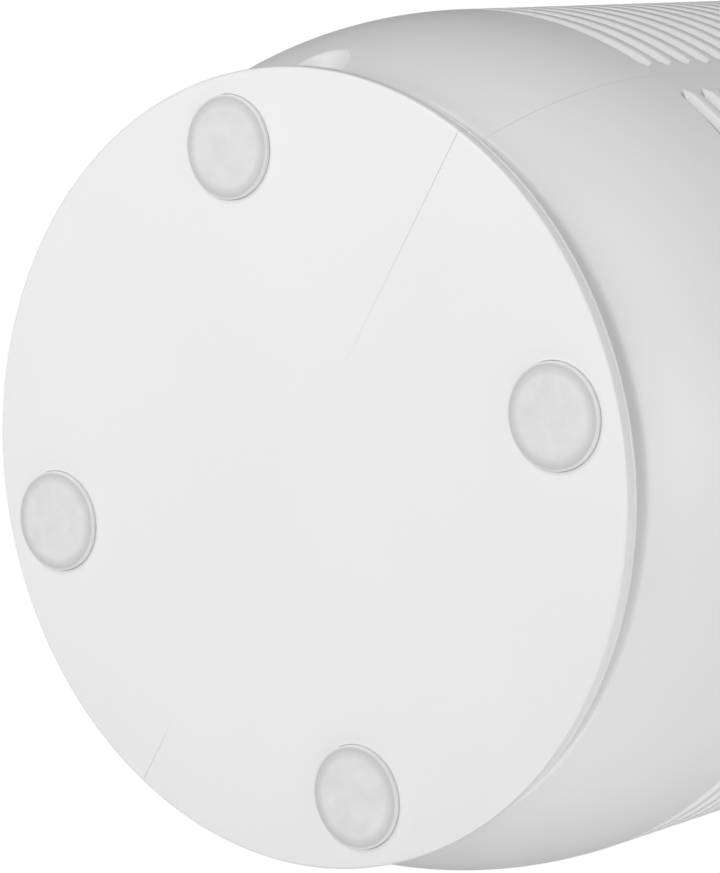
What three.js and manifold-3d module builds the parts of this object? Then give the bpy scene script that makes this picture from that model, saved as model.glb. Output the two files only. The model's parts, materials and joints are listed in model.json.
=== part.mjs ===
// Round room air purifier: two louvred half shells, a drum filter, a centrifugal fan and a top panel.
// Millimetres, +Z up, front at -Y. The origin is the centre of the circle that the four feet stand on.

import * as THREE from 'three';
import { mergeVertices } from 'three/addons/utils/BufferGeometryUtils.js';
import Module from 'manifold-3d';

const wasm = await Module();
wasm.setup();

// ---- driving dimensions ----

const ROUND = 32; // sides of a large turned piece
const SMALL_ROUND = 16; // sides of a small turned piece
const GAP = 0.3; // clearance between pieces that touch

const BODY_R = 90;
const BODY_TOP = 277.7; // where the half shells stop under the bezel
const TOTAL_HEIGHT = 290;
const WALL = 2.8;

const FOOT_R = 10.5;
const FOOT_PROUD = 1.2; // height of a foot below the base plate
const FOOT_HEIGHT = 2.1;
const FOOT_CIRCLE_R = 65.7;
const FOOT_ANGLES = { front_left: 225, front_right: 315, rear_right: 45, rear_left: 135 };

const BASE_R = 80;
const BASE_BOTTOM = FOOT_PROUD;
const BASE_EDGE = 1.1; // rounding of the base plate's rim
const BASE_HEIGHT = 3.6;
const FLOOR_TOP = BASE_BOTTOM + 3;
const NECK_R = 74.4;
const RIM_Z = BASE_BOTTOM + 13.2; // lower edge of the belly, above the neck
const RIM_R = 77;
const BELLY_TOP = BASE_BOTTOM + 62;
const BELLY_BOTTOM = BASE_BOTTOM + 14;
const BELLY_PULL_IN = 10.2; // how much narrower the belly is at its lower edge
const BELLY_POWER = 2.2;

const SLOT_COUNT = 20;
const SLOT_PITCH = 7;
const SLOT_HEIGHT = 3.2;
const SLOT_RISE = 1.2; // how much a slot climbs towards the inside
const SLOT_START = BASE_BOTTOM + 59.6;
const STRIP_HALF_WIDTH = 5.3; // plain strip beside each shell seam
const RIB_ANGLES = [45, 90, 135];

const SCOOP_ANGLE = 147; // cord scoop, seen from above, from +X towards +Y
const SCOOP_R = 6;
const SCOOP_Z = BASE_BOTTOM + 11.2;
const SCOOP_INNER_R = 64;

const SCREW_R = 1.5;
const SCREW_HEAD_R = 3.2;
const SCREW_HEAD_HEIGHT = 1.9;
const SCREW_SEAT = 5;
const SCREW_TOP = 15;
const SCREW_PLAY = 0.4; // how much wider than the screw its holes are
const SCREW_BOSS_TOP = 7.2;

const TRAY_R = 77.3;
const TRAY_Z = 18;
const DECK_Z = 203;
const DECK_R = 85.4;
const PLATE_THICK = 3; // tray and deck
const POST_INNER_X = 73.6;
const POST_OUTER_X = 77.2;
const POST_HALF_WIDTH = 9;

const MAGNET_R = 2.2;
const MAGNET_X = 76.1;
const MAGNET_BACK = POST_HALF_WIDTH + 2.4;
const STRIKE_Z = 150;
const STRIKE_FRONT = MAGNET_BACK + 0.6; // face that the magnet pulls on
const STRIKE_THICK = 0.8;
const STRIKE_HALF = 5; // half the plate's height
const STRIKE_BOSS_DEPTH = 3;

const MAIN_BOARD_Z = 5.6;
const BOARD_THICK = 1.6;
const MAIN_BOARD_TOP = MAIN_BOARD_Z + BOARD_THICK;
const MAIN_BOARD_START = 26; // distances from the axis, along the cord scoop's direction
const MAIN_BOARD_END = 62;
const MAIN_BOARD_HALF_WIDTH = 18;

const FILTER_R = 71;
const FILTER_BOTTOM = 22;
const FILTER_TOP = 198;
const FILTER_EYE_R = 44;
const CAP_THICK = 3;
const CAP_LIP = 8; // how far a cap's rim reaches over the paper
const CAP_WALL = 1.4;
const MEDIA_BOTTOM = FILTER_BOTTOM + CAP_THICK + GAP;
const MEDIA_TOP = FILTER_TOP - CAP_THICK - GAP;
const MEDIA_OUTER_R = 67.8;
const MEDIA_INNER_R = 54;
const MEDIA_SET_IN = 3.9; // along the radius, which makes the folded paper 1.3 thick
const PLEATS = 36;

const FAN_R = 63;
const FAN_BOTTOM = 212;
const FAN_TOP = 240;
const FAN_BLADES = 9;
const FAN_PLATE = 1.8;
const SHAFT_R = 2;
const MOTOR_R = 21;
const MOTOR_BOTTOM = FAN_TOP + 2.6;
const MOTOR_TOP = 262;
const MOTOR_FLANGE_Z = MOTOR_TOP - 4;
const VANES = 11;
const VANE_BOTTOM = 244;
const VANE_TOP = MOTOR_FLANGE_Z - GAP;
const VANE_TILT = 24;
const DIFFUSER_R = 80.4;
const DIFFUSER_WALL = 2.2;
const SHROUD_TOP = 264;

const GRILLE_Z = 283;
const GRILLE_THICK = 3;
const GRILLE_BARS = 30;
const GRILLE_OUTER_R = 74.4;
const HUB_R = 34.5;
const CUP_BOTTOM = 266;
const PANEL_R = 31.5;
const PANEL_TOP = 286.6;
const PANEL_THICK = 2.4;
const LIGHT_OUTER_R = 12.4;
const POWER_R = 9.2;
const KEY_R = 5.2;
const KEY_CIRCLE_R = 21;
const KEY_ANGLES = { speed: 270, timer: 30, lamp: 150 };
const BUTTON_BOTTOM = 280.5;
const BUTTON_TOP = 287.4;
const BUTTON_BOARD_TOP = 274;
const BUTTON_BOARD_R = 30.4;
const FAR = 120; // reach of the boxes that only cut

// ---- materials ----

const material = (color, roughness, metalness = 0) =>
  new THREE.MeshStandardMaterial({ color, roughness, metalness });

const white = () => material(0xe9e9e8, 0.38);
const satinWhite = () => material(0xe2e2e0, 0.5);
const silicone = () => material(0xd9d9d6, 0.7);
const greyPlastic = () => material(0xb9bbbd, 0.55);
const darkPlastic = () => material(0x2b2d30, 0.5);
const steel = () => material(0xb5b7ba, 0.35, 1);
const boardGreen = () => material(0x1d5b3a, 0.5);
const paper = () => material(0xf4f2ea, 0.9);
const charcoal = () => material(0x1c1c1d, 0.95);

// ---- solids ----

function toSolid(geometry) {
  const plain = geometry.clone();
  plain.deleteAttribute('normal');
  plain.deleteAttribute('uv');
  const merged = mergeVertices(plain, 1e-4);
  const index = merged.index.array;
  const triangles = [];
  for (let i = 0; i < index.length; i += 3) {
    const [a, b, c] = [index[i], index[i + 1], index[i + 2]];
    if (a !== b && b !== c && c !== a) triangles.push(a, b, c);
  }
  const vertProperties = new Float32Array(merged.attributes.position.array);
  const build = (list) =>
    new wasm.Manifold(new wasm.Mesh({ numProp: 3, vertProperties, triVerts: Uint32Array.from(list) }));
  const solid = build(triangles);
  return solid.volume() > 0 ? solid : build(triangles.reverse());
}

function toGeometry(solid) {
  const mesh = solid.getMesh();
  const geometry = new THREE.BufferGeometry();
  geometry.setAttribute('position', new THREE.BufferAttribute(new Float32Array(mesh.vertProperties), 3));
  geometry.setIndex(new THREE.BufferAttribute(new Uint32Array(mesh.triVerts), 1));
  geometry.computeVertexNormals();
  return geometry;
}

// A profile of [radius, z] points turned about +Z; it starts and ends on the axis, or closes on itself.
function turned(points, sides = ROUND) {
  const closed = points[0][0] === 0 ? points : [...points, points[0]];
  const profile = closed.map(([r, z]) => new THREE.Vector2(r, z));
  return toSolid(new THREE.LatheGeometry(profile, sides).rotateX(Math.PI / 2));
}

function disc(r, z0, z1, sides = SMALL_ROUND) {
  return turned([[0, z0], [r, z0], [r, z1], [0, z1]], sides);
}

function ring(inner, outer, z0, z1, sides = ROUND) {
  return turned([[inner, z0], [outer, z0], [outer, z1], [inner, z1]], sides);
}

function box(x0, x1, y0, y1, z0, z1) {
  const geometry = new THREE.BoxGeometry(x1 - x0, y1 - y0, z1 - z0);
  return toSolid(geometry.translate((x0 + x1) / 2, (y0 + y1) / 2, (z0 + z1) / 2));
}

// An outline in the XY plane raised from z0 to z1.
function raised(outline, z0, z1) {
  const shape = new THREE.Shape(outline.map(([x, y]) => new THREE.Vector2(x, y)));
  const geometry = new THREE.ExtrudeGeometry(shape, { depth: z1 - z0, bevelEnabled: false });
  return toSolid(geometry.translate(0, 0, z0));
}

const deckTop = DECK_Z + PLATE_THICK;

const radians = (degrees) => (degrees * Math.PI) / 180;
const polar = (r, degrees) => [r * Math.cos(radians(degrees)), r * Math.sin(radians(degrees))];
const turn = (solid, degrees) => solid.rotate([0, 0, degrees]);
const move = (solid, x, y, z = 0) => solid.translate([x, y, z]);
const atScoop = (solid) => turn(solid, SCOOP_ANGLE);
const join = (solids) => solids.reduce((sum, solid) => sum.add(solid));
const around = (count, make) => Array.from({ length: count }, (_, i) => make((360 * i) / count, i));

// ---- the assembly ----

const purifier = new THREE.Group();

function add(name, solid, look) {
  const mesh = new THREE.Mesh(toGeometry(solid), look);
  mesh.name = name;
  purifier.add(mesh);
}

// ---- half shells ----

const bellyRadius = (z) =>
  BODY_R - BELLY_PULL_IN * Math.pow(Math.max(0, (BELLY_TOP - z) / (BELLY_TOP - BELLY_BOTTOM)), BELLY_POWER);

const BELLY_STEPS = 9;
const BELLY_CURVE_START = RIM_Z + 2.2;
const bellyHeights = Array.from(
  { length: BELLY_STEPS + 1 },
  (_, i) => BELLY_CURVE_START + ((BELLY_TOP - BELLY_CURVE_START) * i) / BELLY_STEPS,
);

const outerProfile = [
  [BASE_R - BASE_EDGE, BASE_BOTTOM],
  [BASE_R, BASE_BOTTOM + BASE_EDGE],
  [BASE_R, BASE_BOTTOM + BASE_HEIGHT - 0.6],
  [BASE_R - 0.6, BASE_BOTTOM + BASE_HEIGHT],
  [NECK_R + 1.2, BASE_BOTTOM + BASE_HEIGHT + 0.6],
  [NECK_R, BASE_BOTTOM + BASE_HEIGHT + 2],
  [NECK_R, RIM_Z - 0.4],
  [NECK_R + 0.6, RIM_Z],
  [RIM_R, RIM_Z],
  [RIM_R + 2, RIM_Z + 0.6],
  ...bellyHeights.map((z) => [bellyRadius(z), z]),
];

const innerProfile = [
  ...bellyHeights.slice(0, -1).reverse().map((z) => [bellyRadius(z) - WALL, z + 0.8]),
  [NECK_R - WALL, RIM_Z + 2.6],
  [NECK_R - WALL, FLOOR_TOP],
];

const slotZ = (i) => SLOT_START + i * SLOT_PITCH;
const lastSlotZ = slotZ(SLOT_COUNT - 1);

// A stretch of the straight wall: its lower and upper faces climb towards the inside, like the slots.
function wallRing(z0, z1, rise = SLOT_RISE) {
  return turned([
    [BODY_R, z0],
    [BODY_R, z1],
    [BODY_R - WALL, z1 + rise],
    [BODY_R - WALL, z0 + SLOT_RISE],
  ]);
}

// The strips beside the seams run a hair inside the wall's faces, and the slats end in them.
function shellBody() {
  const skin = 0.04;
  const lower = turned([
    [0, BASE_BOTTOM],
    ...outerProfile,
    [BODY_R, slotZ(0)],
    [BODY_R - WALL, slotZ(0) + SLOT_RISE],
    ...innerProfile,
    [0, FLOOR_TOP],
  ]);
  const slat = (i) => wallRing(slotZ(i) + SLOT_HEIGHT, slotZ(i + 1));
  const slats = Array.from({ length: SLOT_COUNT - 1 }, (_, i) => slat(i));
  const slatRoom = STRIP_HALF_WIDTH - 0.4;
  const slatEnds = box(-FAR, FAR, -slatRoom, slatRoom, slotZ(0), lastSlotZ + SLOT_PITCH);
  const upper = wallRing(lastSlotZ + SLOT_HEIGHT, BODY_TOP, 0);
  const strips = ring(BODY_R - WALL + skin, BODY_R - skin, slotZ(0) - 2, lastSlotZ + SLOT_PITCH).intersect(
    box(-FAR, FAR, -STRIP_HALF_WIDTH, STRIP_HALF_WIDTH, 0, TOTAL_HEIGHT),
  );
  return join([lower, upper, join(slats).subtract(slatEnds), strips]);
}

// Upright ribs behind the slats tie them together.
function shellRibs(side) {
  const inner = BODY_R - WALL - 2.6;
  const outer = BODY_R - WALL + 1.2;
  const rib = box(inner, outer, -1, 1, BELLY_TOP - 4, DECK_Z - 1.2);
  return RIB_ANGLES.map((angle) => turn(rib, side * angle));
}

const footPocket = (angle) => {
  const [x, y] = polar(FOOT_CIRCLE_R, angle);
  return move(disc(FOOT_R + GAP, BASE_BOTTOM - 1, FOOT_HEIGHT + GAP), x, y);
};

const whole = shellBody();
const frontSide = box(-FAR, FAR, -FAR, -GAP / 2, -1, TOTAL_HEIGHT);
const rearSide = box(-FAR, FAR, GAP / 2, FAR, -1, TOTAL_HEIGHT);
const screwAngles = [FOOT_ANGLES.front_left, FOOT_ANGLES.front_right];

function frontShell() {
  const bossR = 6.2;
  const bosses = screwAngles.map((angle) =>
    move(disc(bossR, FLOOR_TOP - 1, SCREW_BOSS_TOP), ...polar(FOOT_CIRCLE_R - 0.8, angle)),
  );
  const cuts = screwAngles.flatMap((angle) => {
    const [x, y] = polar(FOOT_CIRCLE_R, angle);
    return [
      footPocket(angle),
      move(disc(SCREW_HEAD_R + SCREW_PLAY, BASE_BOTTOM, SCREW_SEAT), x, y),
      move(disc(SCREW_R + SCREW_PLAY, BASE_BOTTOM, SCREW_BOSS_TOP + 1), x, y),
    ];
  });
  const shell = join([whole.intersect(frontSide), ...shellRibs(-1), ...bosses]);
  return cuts.reduce((body, cut) => body.subtract(cut), shell);
}

// The cord scoop is a round tunnel under the belly's rim, with its own moulded wall.
function scoopAlong(r, from, to) {
  const rod = disc(r, from, to).rotate([0, 90, 0]);
  return atScoop(move(rod, 0, 0, SCOOP_Z));
}

// A box on the +X side, or the same box mirrored to the -X side.
function sideBox(side, x0, x1, y0, y1, z0, z1) {
  return side > 0 ? box(x0, x1, y0, y1, z0, z1) : box(-x1, -x0, y0, y1, z0, z1);
}

function strikeBoss(side) {
  const front = STRIKE_FRONT + STRIKE_THICK + GAP;
  const half = STRIKE_HALF + 1;
  const [z0, z1] = [STRIKE_Z - half, STRIKE_Z + half];
  return sideBox(side, MAGNET_X - 3.5, BODY_R - 3, front, front + STRIKE_BOSS_DEPTH, z0, z1);
}

function rearCover() {
  const tunnelWallR = SCOOP_R + 2.4;
  const envelope = turned([[0, BASE_BOTTOM], ...outerProfile, [0, BELLY_TOP]]);
  const tunnelWall = scoopAlong(tunnelWallR, SCOOP_INNER_R, BODY_R).intersect(envelope);
  const bosses = [strikeBoss(-1), strikeBoss(1)];
  const shell = join([whole.intersect(rearSide), ...shellRibs(1), tunnelWall, ...bosses]);
  const cuts = [
    footPocket(FOOT_ANGLES.rear_left),
    footPocket(FOOT_ANGLES.rear_right),
    scoopAlong(SCOOP_R, SCOOP_INNER_R - 2, BODY_R + 20),
  ];
  return cuts.reduce((body, cut) => body.subtract(cut), shell);
}

add('front_shell', frontShell(), white());
add('rear_cover', rearCover(), white());

// ---- feet and base screws ----

function footPad() {
  const edge = 0.5;
  const dish = 0.25;
  return turned(
    [
      [0, dish],
      [FOOT_R - 3, dish],
      [FOOT_R - 1.6, 0],
      [FOOT_R - edge, 0],
      [FOOT_R, edge],
      [FOOT_R, FOOT_HEIGHT],
      [0, FOOT_HEIGHT],
    ],
    SMALL_ROUND,
  );
}

for (const [place, angle] of Object.entries(FOOT_ANGLES)) {
  add(`foot_${place}`, move(footPad(), ...polar(FOOT_CIRCLE_R, angle)), silicone());
}

function baseScrew(angle) {
  const head = SCREW_SEAT - GAP;
  const screw = turned(
    [
      [0, head - SCREW_HEAD_HEIGHT],
      [SCREW_HEAD_R, head - SCREW_HEAD_HEIGHT],
      [SCREW_HEAD_R, head],
      [SCREW_R, head],
      [SCREW_R, SCREW_TOP],
      [0, SCREW_TOP],
    ],
    SMALL_ROUND,
  );
  return move(screw, ...polar(FOOT_CIRCLE_R, angle));
}

add('base_screw_left', baseScrew(FOOT_ANGLES.front_left), steel());
add('base_screw_right', baseScrew(FOOT_ANGLES.front_right), steel());

// ---- inner frame: tray, two side posts and the fan deck in one moulding ----

function innerFrame() {
  const legR = 4.8;
  const hangerR = 2.4;
  const hangerPlaces = [[30, -12], [30, 12]];
  const tray = disc(TRAY_R, TRAY_Z, TRAY_Z + PLATE_THICK, ROUND);
  const deck = ring(FILTER_EYE_R + 2, DECK_R, DECK_Z, deckTop);
  const posts = [-1, 1].map((side) =>
    sideBox(side, POST_INNER_X, POST_OUTER_X, -POST_HALF_WIDTH, POST_HALF_WIDTH, TRAY_Z + 1, DECK_Z + 1),
  );
  const screwHole = disc(SCREW_R + SCREW_PLAY, 0, SCREW_TOP + 1);
  const leg = disc(legR, SCREW_BOSS_TOP + GAP, TRAY_Z + 1).subtract(screwHole);
  const legs = screwAngles.map((angle) => move(leg, ...polar(FOOT_CIRCLE_R, angle)));
  const hanger = disc(hangerR, MAIN_BOARD_TOP + GAP, TRAY_Z + 1, 12);
  const hangers = hangerPlaces.map(([x, y]) => atScoop(move(hanger, x, y)));
  const scoopRoom = box(-FAR, -40, 17, FAR, TRAY_Z - 5, TRAY_Z + 5);
  return join([tray, deck, ...posts, ...legs, ...hangers]).subtract(scoopRoom);
}

add('inner_frame', innerFrame(), greyPlastic());

for (const [name, side] of [['left', -1], ['right', 1]]) {
  const front = POST_HALF_WIDTH + GAP;
  const magnet = disc(MAGNET_R, 0, MAGNET_BACK - front).rotate([-90, 0, 0]);
  add(`magnet_${name}`, move(magnet, side * MAGNET_X, front, STRIKE_Z), steel());
  const [z0, z1] = [STRIKE_Z - STRIKE_HALF, STRIKE_Z + STRIKE_HALF];
  const plate = sideBox(side, MAGNET_X - 3, MAGNET_X + 3, STRIKE_FRONT, STRIKE_FRONT + STRIKE_THICK, z0, z1);
  add(`strike_plate_${name}`, plate, steel());
}

// ---- main board and power inlet ----

function mainBoard() {
  const half = MAIN_BOARD_HALF_WIDTH;
  return atScoop(box(MAIN_BOARD_START, MAIN_BOARD_END, -half, half, MAIN_BOARD_Z, MAIN_BOARD_TOP));
}

function powerInlet() {
  const halfWidth = 4.6;
  const height = 10;
  const barrelR = 2.9;
  const start = MAIN_BOARD_END - 11;
  const bottom = MAIN_BOARD_TOP + GAP;
  const body = box(start, SCOOP_INNER_R - 0.4, -halfWidth, halfWidth, bottom, bottom + height);
  const barrel = disc(barrelR, start + 4, SCOOP_INNER_R + 2).rotate([0, 90, 0]);
  return atScoop(body.subtract(move(barrel, 0, 0, SCOOP_Z)));
}

function boardCapacitor() {
  const can = disc(4, MAIN_BOARD_TOP + GAP, MAIN_BOARD_TOP + 9);
  return atScoop(move(can, 42, 11));
}

function boardConnector() {
  return atScoop(box(38, 44, -14, -6, MAIN_BOARD_TOP + GAP, MAIN_BOARD_TOP + 7));
}

add('main_board', mainBoard(), boardGreen());
add('power_inlet', powerInlet(), darkPlastic());
add('board_capacitor', boardCapacitor(), darkPlastic());
add('board_connector', boardConnector(), paper());

// ---- drum filter ----

// A flat cap with a rim round the paper, drawn downwards from its outer face.
function capProfile(face, direction, eye) {
  const at = (depth) => face + direction * depth;
  return [
    [eye, at(0)],
    [FILTER_R, at(0)],
    [FILTER_R, at(CAP_LIP)],
    [FILTER_R - CAP_WALL, at(CAP_LIP)],
    [FILTER_R - CAP_WALL, at(CAP_THICK)],
    [eye, at(CAP_THICK)],
  ];
}

add('filter_lower_cap', turned(capProfile(FILTER_BOTTOM, 1, 0)), darkPlastic());
add('filter_upper_cap', turned(capProfile(FILTER_TOP, -1, FILTER_EYE_R)), darkPlastic());

// The pleated paper: a star with PLEATS points, and the same star set in by the paper's thickness.
function filterMedia() {
  const star = (outer, inner) =>
    Array.from({ length: PLEATS * 2 }, (_, i) => polar(i % 2 ? inner : outer, (180 * i) / PLEATS));
  const outside = raised(star(MEDIA_OUTER_R, MEDIA_INNER_R), MEDIA_BOTTOM, MEDIA_TOP);
  const insideStar = star(MEDIA_OUTER_R - MEDIA_SET_IN, MEDIA_INNER_R - MEDIA_SET_IN);
  return outside.subtract(raised(insideStar, MEDIA_BOTTOM - 1, MEDIA_TOP + 1));
}

function pullTab() {
  const [halfWidth, height, thick] = [7, 34, 1.2];
  const inner = FILTER_R + 0.4;
  return box(-halfWidth, halfWidth, inner, inner + thick, FILTER_BOTTOM, FILTER_BOTTOM + height);
}

add('filter_media', filterMedia(), paper());
add('filter_prefilter', ring(68.4, 69.2, MEDIA_BOTTOM, MEDIA_TOP), darkPlastic());
add('filter_carbon', ring(45.6, 49.4, MEDIA_BOTTOM, MEDIA_TOP, SMALL_ROUND), charcoal());
add('filter_seal', ring(FILTER_EYE_R + 3, 66, FILTER_TOP + GAP, DECK_Z - 0.4, SMALL_ROUND), charcoal());
add('filter_pull_tab', pullTab(), charcoal());

// ---- fan ----

const aboveDeck = deckTop + GAP;

function inletRing() {
  const outer = 58;
  return turned([
    [FILTER_EYE_R + 1, aboveDeck],
    [outer, aboveDeck],
    [outer, aboveDeck + 1.8],
    [FILTER_EYE_R + 3.2, aboveDeck + 1.8],
    [FILTER_EYE_R + 2, aboveDeck + 4.8],
    [FILTER_EYE_R + 0.4, aboveDeck + 4.8],
  ]);
}

add('inlet_ring', inletRing(), greyPlastic());

// A backward-curved blade: an arc-shaped band from the eye to the rim.
function fanBlade(angle) {
  const steps = 5;
  const inner = 42;
  const outer = FAN_R - 0.6;
  const sweep = 34;
  const half = 1;
  const spine = Array.from({ length: steps + 1 }, (_, i) => {
    const t = i / steps;
    return { r: inner + (outer - inner) * t, a: angle - sweep * t * t };
  });
  const side = (offset) => spine.map(({ r, a }) => polar(r, a + (offset / r) * (180 / Math.PI)));
  return raised([...side(-half), ...side(half).reverse()], FAN_BOTTOM, FAN_TOP);
}

const hubNose = FAN_BOTTOM + 8;

function impeller() {
  const [noseR, waistR, skirtR] = [8, 14, 30];
  const hub = turned(
    [
      [0, hubNose],
      [noseR, hubNose],
      [waistR, FAN_TOP - 8],
      [skirtR, FAN_TOP - FAN_PLATE],
      [skirtR, FAN_TOP],
      [0, FAN_TOP],
    ],
    SMALL_ROUND,
  );
  const backPlate = ring(skirtR - 10, FAN_R, FAN_TOP - FAN_PLATE, FAN_TOP);
  const shroud = ring(FILTER_EYE_R + 5, FAN_R, FAN_BOTTOM, FAN_BOTTOM + FAN_PLATE);
  const blades = around(FAN_BLADES, (angle) => fanBlade(angle));
  const bore = disc(SHAFT_R + GAP, FAN_BOTTOM, FAN_TOP + 1);
  return join([hub, backPlate, shroud, ...blades]).subtract(bore);
}

add('impeller', impeller(), greyPlastic());
add('motor_shaft', disc(SHAFT_R, FAN_BOTTOM + 1, MOTOR_BOTTOM + 9), steel());
add('shaft_nut', ring(SHAFT_R + GAP, 4.4, hubNose - 4.2, hubNose - GAP, 6), steel());

function motor() {
  const flangeR = MOTOR_R + 4;
  const can = turned(
    [
      [0, MOTOR_BOTTOM],
      [MOTOR_R - 1, MOTOR_BOTTOM],
      [MOTOR_R, MOTOR_BOTTOM + 1],
      [MOTOR_R, MOTOR_FLANGE_Z],
      [flangeR, MOTOR_FLANGE_Z],
      [flangeR, MOTOR_FLANGE_Z + 2],
      [MOTOR_R - 2, MOTOR_TOP],
      [0, MOTOR_TOP],
    ],
    SMALL_ROUND,
  );
  return can.subtract(disc(SHAFT_R + 0.6, MOTOR_BOTTOM - 1, MOTOR_BOTTOM + 10));
}

add('motor', motor(), steel());

function diffuser() {
  const halfHeight = 6.8;
  const hub = ring(MOTOR_R + 0.7, MOTOR_R + 4.6, VANE_BOTTOM, VANE_TOP, SMALL_ROUND);
  const rim = ring(DIFFUSER_R - DIFFUSER_WALL, DIFFUSER_R, VANE_BOTTOM, VANE_TOP);
  const flat = box(MOTOR_R + 2.5, DIFFUSER_R - 1.4, -0.9, 0.9, -halfHeight, halfHeight);
  const vane = move(flat.rotate([VANE_TILT, 0, 0]), 0, 0, (VANE_BOTTOM + VANE_TOP) / 2);
  const vanes = around(VANES, (angle) => turn(vane, angle));
  return join([hub, rim, ...vanes]);
}

add('diffuser', diffuser(), greyPlastic());
add('fan_shroud', ring(DIFFUSER_R + 0.8, DIFFUSER_R + 2.8, aboveDeck, SHROUD_TOP), greyPlastic());

// ---- top: bezel, outlet grille and control panel ----

function topBezel() {
  const openingR = BODY_R - 15;
  const outerSkirtR = BODY_R - WALL - 0.6;
  const innerSkirtR = BODY_R - 5.6;
  const skirtBottom = BODY_TOP - 6;
  return turned([
    [BODY_R, BODY_TOP + GAP],
    [BODY_R - 0.9, BODY_TOP + 4.8],
    [BODY_R - 4, BODY_TOP + 9.4],
    [BODY_R - 10, TOTAL_HEIGHT],
    [openingR + 2, TOTAL_HEIGHT],
    [openingR, TOTAL_HEIGHT - 3],
    [openingR, GRILLE_Z - 3],
    [innerSkirtR, GRILLE_Z - 6],
    [innerSkirtR, skirtBottom],
    [outerSkirtR, skirtBottom],
    [outerSkirtR, BODY_TOP + GAP],
  ]);
}

add('top_bezel', topBezel(), white());

// Radial bars between the rim and a cup that holds the buttons and their board.
function topGrille() {
  const grilleTop = GRILLE_Z + GRILLE_THICK;
  const cupFloor = CUP_BOTTOM + 2;
  const cupInnerR = HUB_R - 2.6;
  const bar = box(HUB_R - 1, GRILLE_OUTER_R - 1.5, -0.9, 0.9, GRILLE_Z, grilleTop);
  const bars = around(GRILLE_BARS, (angle) => turn(bar, angle));
  const rim = ring(GRILLE_OUTER_R - 2.4, GRILLE_OUTER_R, GRILLE_Z - 1, grilleTop);
  const cup = turned([
    [0, CUP_BOTTOM],
    [HUB_R - 1.4, CUP_BOTTOM],
    [HUB_R, CUP_BOTTOM + 1.4],
    [HUB_R, grilleTop],
    [cupInnerR, grilleTop],
    [cupInnerR, cupFloor],
    [0, cupFloor],
  ]);
  const standOffTop = BUTTON_BOARD_TOP - BOARD_THICK - GAP;
  const standOff = move(disc(2.2, cupFloor - 1, standOffTop, 8), 26, 0);
  const standOffs = around(3, (angle) => turn(standOff, angle + 90));
  const wireHole = move(disc(5, CUP_BOTTOM - 1, cupFloor + 1, 12), 16, 0);
  return join([cup, rim, ...bars, ...standOffs]).subtract(wireHole);
}

add('top_grille', topGrille(), satinWhite());

const keyPlace = (name) => polar(KEY_CIRCLE_R, KEY_ANGLES[name]);
const panelBottom = PANEL_TOP - PANEL_THICK;

function controlPanel() {
  const hole = (r) => disc(r, panelBottom - 1, PANEL_TOP + 1);
  const keyHoles = Object.keys(KEY_ANGLES).map((name) => move(hole(KEY_R + 0.4), ...keyPlace(name)));
  const plate = disc(PANEL_R, panelBottom, PANEL_TOP, ROUND);
  return plate.subtract(join([hole(LIGHT_OUTER_R + 0.35), ...keyHoles]));
}

add('control_panel', controlPanel(), satinWhite());
add('light_ring', ring(POWER_R + 0.45, LIGHT_OUTER_R, panelBottom, PANEL_TOP, SMALL_ROUND), silicone());

function button(r) {
  const step = 1.6;
  const edge = 0.5;
  return turned(
    [
      [0, BUTTON_BOTTOM],
      [r - step, BUTTON_BOTTOM],
      [r - step, BUTTON_BOTTOM + step],
      [r, BUTTON_BOTTOM + step],
      [r, BUTTON_TOP - edge],
      [r - edge, BUTTON_TOP],
      [0, BUTTON_TOP - 0.3],
    ],
    SMALL_ROUND,
  );
}

function tactSwitch() {
  const half = 3;
  const bodyTop = BUTTON_BOARD_TOP + 3.6;
  const body = box(-half, half, -half, half, BUTTON_BOARD_TOP + GAP, bodyTop);
  return body.add(disc(1.6, bodyTop - 0.6, bodyTop + 1.6, 12));
}

add('power_button', button(POWER_R), white());
add('power_switch', tactSwitch(), darkPlastic());
for (const name of Object.keys(KEY_ANGLES)) {
  add(`${name}_button`, move(button(KEY_R), ...keyPlace(name)), white());
  add(`${name}_switch`, move(tactSwitch(), ...keyPlace(name)), darkPlastic());
}

const buttonBoard = disc(BUTTON_BOARD_R, BUTTON_BOARD_TOP - BOARD_THICK, BUTTON_BOARD_TOP, ROUND);
add('button_board', buttonBoard, boardGreen());

export default purifier;
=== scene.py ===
import json
import math

import bmesh
import bpy
from bpy.props import FloatProperty, FloatVectorProperty, IntProperty, PointerProperty
from mathutils import Matrix, Vector


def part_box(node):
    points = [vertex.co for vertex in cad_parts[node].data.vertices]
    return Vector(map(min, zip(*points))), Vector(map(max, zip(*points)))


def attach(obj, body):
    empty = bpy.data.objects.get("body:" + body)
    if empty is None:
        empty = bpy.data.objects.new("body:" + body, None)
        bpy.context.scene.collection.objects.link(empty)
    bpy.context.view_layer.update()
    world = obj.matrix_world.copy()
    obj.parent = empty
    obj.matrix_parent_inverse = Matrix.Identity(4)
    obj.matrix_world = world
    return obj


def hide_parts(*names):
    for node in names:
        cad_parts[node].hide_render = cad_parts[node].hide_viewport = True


bl_info = {
    "name": "Round Air Purifier",
    "version": (1, 0, 0),
    "blender": (4, 5, 0),
    "location": "3D View > Sidebar > Purifier",
    "description": "Builds the visible surfaces of a round air purifier around its packed frame",
    "category": "Object",
}

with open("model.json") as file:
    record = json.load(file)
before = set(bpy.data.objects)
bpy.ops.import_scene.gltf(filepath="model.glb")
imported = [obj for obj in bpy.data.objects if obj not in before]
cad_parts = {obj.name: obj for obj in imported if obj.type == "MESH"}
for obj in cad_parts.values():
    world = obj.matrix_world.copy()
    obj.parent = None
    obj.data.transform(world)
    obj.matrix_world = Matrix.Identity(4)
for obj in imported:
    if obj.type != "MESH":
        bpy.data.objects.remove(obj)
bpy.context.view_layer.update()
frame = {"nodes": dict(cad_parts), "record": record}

MM = 0.001
TURN = math.tau
HALF_TURN = math.pi
QUARTER_TURN = math.pi / 2
UP = Vector((0, 0, 1))
MERGE = 1e-7
NO_MATERIAL = -1

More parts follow.
